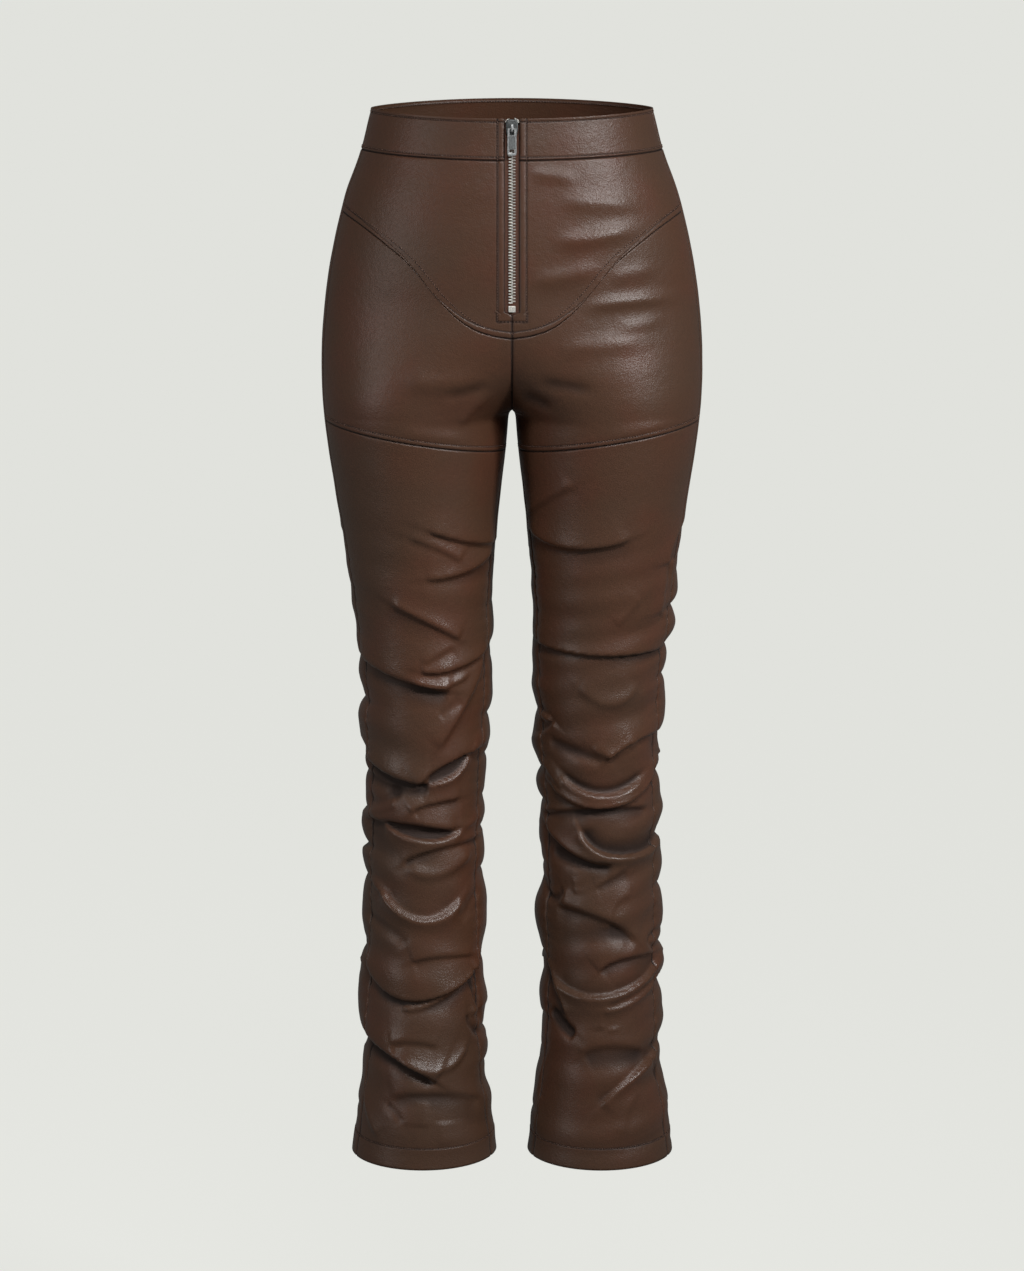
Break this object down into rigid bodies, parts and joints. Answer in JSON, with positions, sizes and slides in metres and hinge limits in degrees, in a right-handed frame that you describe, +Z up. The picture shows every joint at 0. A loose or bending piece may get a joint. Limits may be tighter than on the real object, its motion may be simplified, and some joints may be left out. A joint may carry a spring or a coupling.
{
  "type": "ruched flared faux leather trousers",
  "caption": "High-waisted faux leather trousers in their worn form, with a metal front zip, curved yoke, fitted hips, ruched slim legs and small flared hems, hollow and open at waist and hems.",
  "frame": {"origin": "middle of the waist opening, level with the top of the waistband at its two sides, where the wearer's waist holds the trousers", "axes": "+Z up the body, -Y the front with the zip, +X the wearer's left"},
  "size_m": [0.3428, 0.2308, 0.9742],
  "materials": {
    "faux_leather": "semi-gloss dark brown coated cloth with a fine grain",
    "zip_tape": "matt dark brown woven tape",
    "zip_metal": "worn gunmetal plate",
    "zip_tab": "dark gunmetal plate"
  },
  "bodies": {
    "trousers": {"waistband_back": "faux_leather", "waistband_front_left": "faux_leather", "waistband_front_right": "faux_leather", "front_yoke_left": "faux_leather", "front_yoke_right": "faux_leather", "front_hip_left": "faux_leather", "front_hip_right": "faux_leather", "front_leg_left": "faux_leather", "front_leg_right": "faux_leather", "back_left": "faux_leather", "back_right": "faux_leather", "zip_tape_left": "zip_tape", "zip_tape_right": "zip_tape", "zip_chain": "zip_metal", "zip_bottom_stop": "zip_metal", "zip_slider": "zip_metal"},
    "pull_tab": {"zip_pull_tab": "zip_tab"}
  },
  "joints": [
    {"name": "pull_tab_swing", "type": "hinge", "parent": "trousers", "child": "pull_tab", "pos_m": [0, -0.09304, -0.01358], "axis": [-1, 0, 0], "range_deg": [0, 170]}
  ]
}
